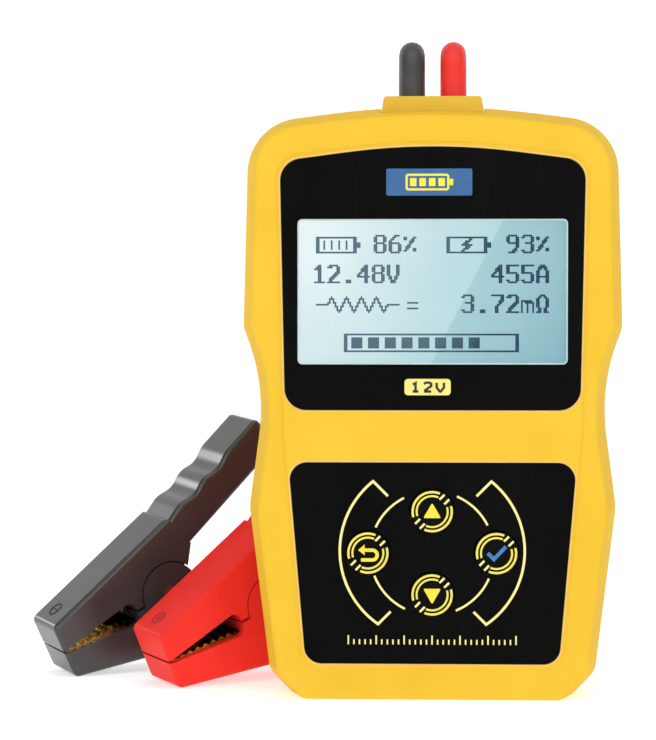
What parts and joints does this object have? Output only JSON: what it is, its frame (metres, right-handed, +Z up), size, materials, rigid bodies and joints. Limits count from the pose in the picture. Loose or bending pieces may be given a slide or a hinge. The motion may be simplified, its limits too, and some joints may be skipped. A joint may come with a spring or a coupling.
{
  "type": "battery tester",
  "caption": "Handheld battery tester with a waisted moulded housing, a display window, round keys and toothed spring clamps on short leads.",
  "frame": {"origin": "middle of the flat base that the housing stands on, on the parting plane", "axes": "+Z up along the housing, front with the display and keys towards -Y, +X to the right seen from the front"},
  "size_m": [0.1717, 0.1193, 0.184],
  "materials": {
    "yellow_plastic": "satin moulded yellow plastic",
    "collar_plastic": "satin moulded yellow plastic, slightly deeper than the housing",
    "black_panel": "smooth black overlay",
    "clear_window": "clear, polished",
    "black_key": "smooth black with printed rings",
    "black_plastic": "moulded black",
    "white_plastic": "moulded white",
    "circuit_board": "green solder mask",
    "light_guide": "milky light guide",
    "display_glass": "pale cyan display",
    "aluminium_can": "drawn aluminium",
    "brass": "stamped brass",
    "steel": "zinc plated steel",
    "black_clamp_plastic": "finely grained dark grey plastic",
    "red_clamp_plastic": "finely grained red plastic",
    "black_lead_jacket": "soft black jacket",
    "red_lead_jacket": "soft red jacket"
  },
  "bodies": {
    "tester": {"front_shell": "yellow_plastic", "rear_shell": "yellow_plastic", "cable_collar": "collar_plastic", "display_panel": "black_panel", "keypad_panel": "black_panel", "display_window": "clear_window", "tact_switches": "black_plastic", "main_board": "circuit_board", "display_board": "circuit_board", "backlight": "light_guide", "display_glass": "display_glass", "display_frame": "steel", "display_spacers": "white_plastic", "control_chips": "black_plastic", "load_resistors": "white_plastic", "capacitors": "aluminium_can", "buzzer": "black_plastic", "lead_terminals": "brass", "case_screws": "steel", "board_screws": "steel", "bar_screws": "steel", "clamp_bar": "black_plastic", "black_lower_jaw": "black_clamp_plastic", "black_lower_grip": "black_clamp_plastic", "black_boot": "black_lead_jacket", "black_lead": "black_lead_jacket", "black_lead_tail": "black_lead_jacket", "black_lower_contact": "brass", "black_pivot_pin": "steel", "black_spring": "steel", "red_lower_jaw": "red_clamp_plastic", "red_lower_grip": "red_clamp_plastic", "red_boot": "red_lead_jacket", "red_lead": "red_lead_jacket", "red_lead_tail": "red_lead_jacket", "red_lower_contact": "brass", "red_pivot_pin": "steel", "red_spring": "steel"},
    "up_key": {"key_up": "black_key", "plunger_up": "white_plastic"},
    "down_key": {"key_down": "black_key", "plunger_down": "white_plastic"},
    "back_key": {"key_back": "black_key", "plunger_back": "white_plastic"},
    "ok_key": {"key_ok": "black_key", "plunger_ok": "white_plastic"},
    "black_arm": {"black_upper_jaw": "black_clamp_plastic", "black_upper_grip": "black_clamp_plastic", "black_upper_contact": "brass"},
    "red_arm": {"red_upper_jaw": "red_clamp_plastic", "red_upper_grip": "red_clamp_plastic", "red_upper_contact": "brass"}
  },
  "joints": [
    {"name": "up_key_press", "type": "slide", "parent": "tester", "child": "up_key", "axis": [0, 1, 0], "range_m": [0, 0.0005], "stiffness_N_per_m": 1500},
    {"name": "down_key_press", "type": "slide", "parent": "tester", "child": "down_key", "axis": [0, 1, 0], "range_m": [0, 0.0005], "stiffness_N_per_m": 1500},
    {"name": "back_key_press", "type": "slide", "parent": "tester", "child": "back_key", "axis": [0, 1, 0], "range_m": [0, 0.0005], "stiffness_N_per_m": 1500},
    {"name": "ok_key_press", "type": "slide", "parent": "tester", "child": "ok_key", "axis": [0, 1, 0], "range_m": [0, 0.0005], "stiffness_N_per_m": 1500},
    {"name": "black_clamp_open", "type": "hinge", "parent": "tester", "child": "black_arm", "pos_m": [-0.0823, 0.0459, 0.02424], "axis": [-0.4969, 0.8649, 0.0705], "range_deg": [0, 35], "stiffness_Nm_per_rad": 1, "springref_deg": -22.92, "deforming": ["black_spring"]},
    {"name": "red_clamp_open", "type": "hinge", "parent": "tester", "child": "red_arm", "pos_m": [-0.0504, 0.027, 0.02332], "axis": [-0.5472, 0.8342, 0.0684], "range_deg": [0, 35], "stiffness_Nm_per_rad": 1, "springref_deg": -22.92, "deforming": ["red_spring"]}
  ]
}
